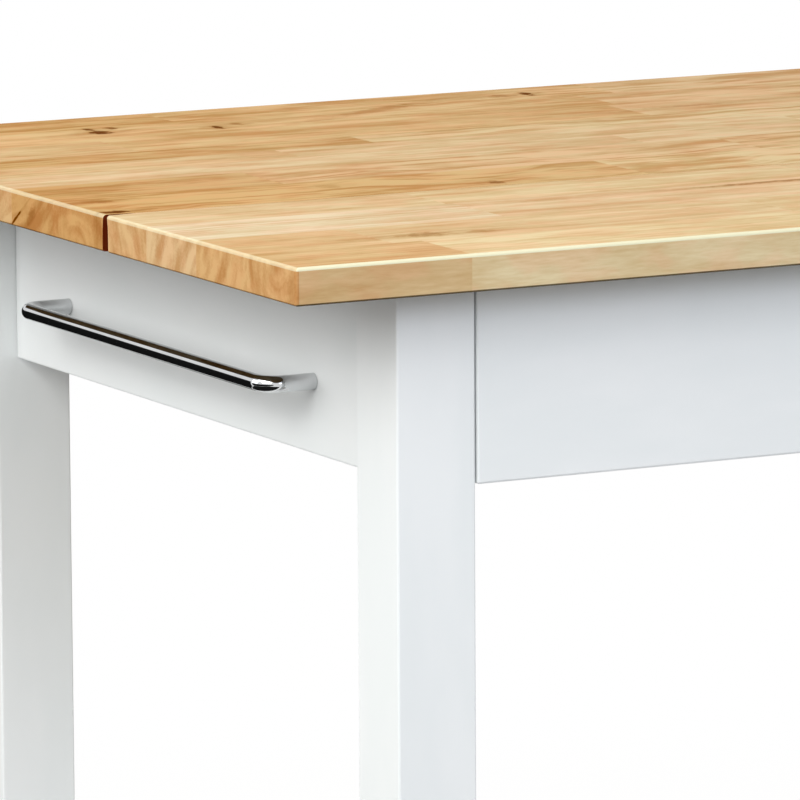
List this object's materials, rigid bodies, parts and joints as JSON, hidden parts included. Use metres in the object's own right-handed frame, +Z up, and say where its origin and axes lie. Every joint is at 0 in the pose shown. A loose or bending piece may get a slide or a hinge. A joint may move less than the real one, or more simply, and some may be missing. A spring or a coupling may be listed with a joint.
{
  "type": "kitchen island",
  "caption": "Kitchen island with a butcher-block worktop on a white square-legged frame, a wide inset drawer on telescopic slides, a slatted lower shelf and a chrome towel rail on one end.",
  "frame": {"origin": "on the floor, under the middle of the worktop", "axes": "+Z up, +X to the right along the worktop's length as seen by someone facing the drawer, -Y out of the drawer front"},
  "size_m": [1, 0.8, 0.9],
  "materials": {
    "butcher_block": "oiled hardwood butcher block in long staves, satin",
    "white_paint": "wood painted white, satin",
    "birch": "clear-lacquered birch",
    "chrome": "polished chrome plate",
    "zinc_steel": "zinc-plated steel sheet and screws",
    "grey_nylon": "grey moulded nylon"
  },
  "bodies": {
    "frame": {"top_front_panel": "butcher_block", "top_rear_panel": "butcher_block", "leg_front_left": "white_paint", "leg_front_right": "white_paint", "leg_rear_left": "white_paint", "leg_rear_right": "white_paint", "foot_glide_front_left": "grey_nylon", "foot_glide_front_right": "grey_nylon", "foot_glide_rear_left": "grey_nylon", "foot_glide_rear_right": "grey_nylon", "end_apron_left": "white_paint", "end_apron_right": "white_paint", "rear_apron": "white_paint", "front_top_rail": "white_paint", "top_cross_rail": "white_paint", "towel_rail": "chrome", "towel_rail_screw_1": "zinc_steel", "towel_rail_screw_2": "zinc_steel", "top_clip_left_front": "zinc_steel", "top_clip_left_front_screw": "zinc_steel", "top_clip_left_rear": "zinc_steel", "top_clip_left_rear_screw": "zinc_steel", "top_clip_right_front": "zinc_steel", "top_clip_right_front_screw": "zinc_steel", "top_clip_right_rear": "zinc_steel", "top_clip_right_rear_screw": "zinc_steel", "top_clip_back_left": "zinc_steel", "top_clip_back_left_screw": "zinc_steel", "top_clip_back_right": "zinc_steel", "top_clip_back_right_screw": "zinc_steel", "slide_batten_left": "white_paint", "slide_batten_right": "white_paint", "slide_cabinet_left": "zinc_steel", "slide_cabinet_right": "zinc_steel", "shelf_end_rail_left": "white_paint", "shelf_end_rail_right": "white_paint", "shelf_rail_front": "white_paint", "shelf_rail_rear": "white_paint", "shelf_slat_1": "white_paint", "shelf_slat_2": "white_paint", "shelf_slat_3": "white_paint", "shelf_slat_4": "white_paint", "shelf_slat_5": "white_paint", "shelf_slat_6": "white_paint", "shelf_slat_7": "white_paint", "shelf_slat_8": "white_paint"},
    "drawer": {"drawer_front": "white_paint", "drawer_side_left": "birch", "drawer_side_right": "birch", "drawer_back": "birch", "drawer_bottom": "birch", "drawer_pull": "chrome", "drawer_pull_screw_1": "zinc_steel", "drawer_pull_screw_2": "zinc_steel", "slide_drawer_left": "zinc_steel", "slide_drawer_right": "zinc_steel"},
    "slide_carriage": {"slide_middle_left": "zinc_steel", "slide_middle_right": "zinc_steel"}
  },
  "joints": [
    {"name": "drawer_slide", "type": "slide", "parent": "frame", "child": "drawer", "axis": [0, -1, 0], "range_m": [0, 0.4]},
    {"name": "carriage_slide", "type": "slide", "parent": "frame", "child": "slide_carriage", "axis": [0, -1, 0], "range_m": [0, 0.2]}
  ],
  "couplings": [
    {"joint": "carriage_slide", "follows": "drawer_slide", "ratio": 0.5}
  ]
}
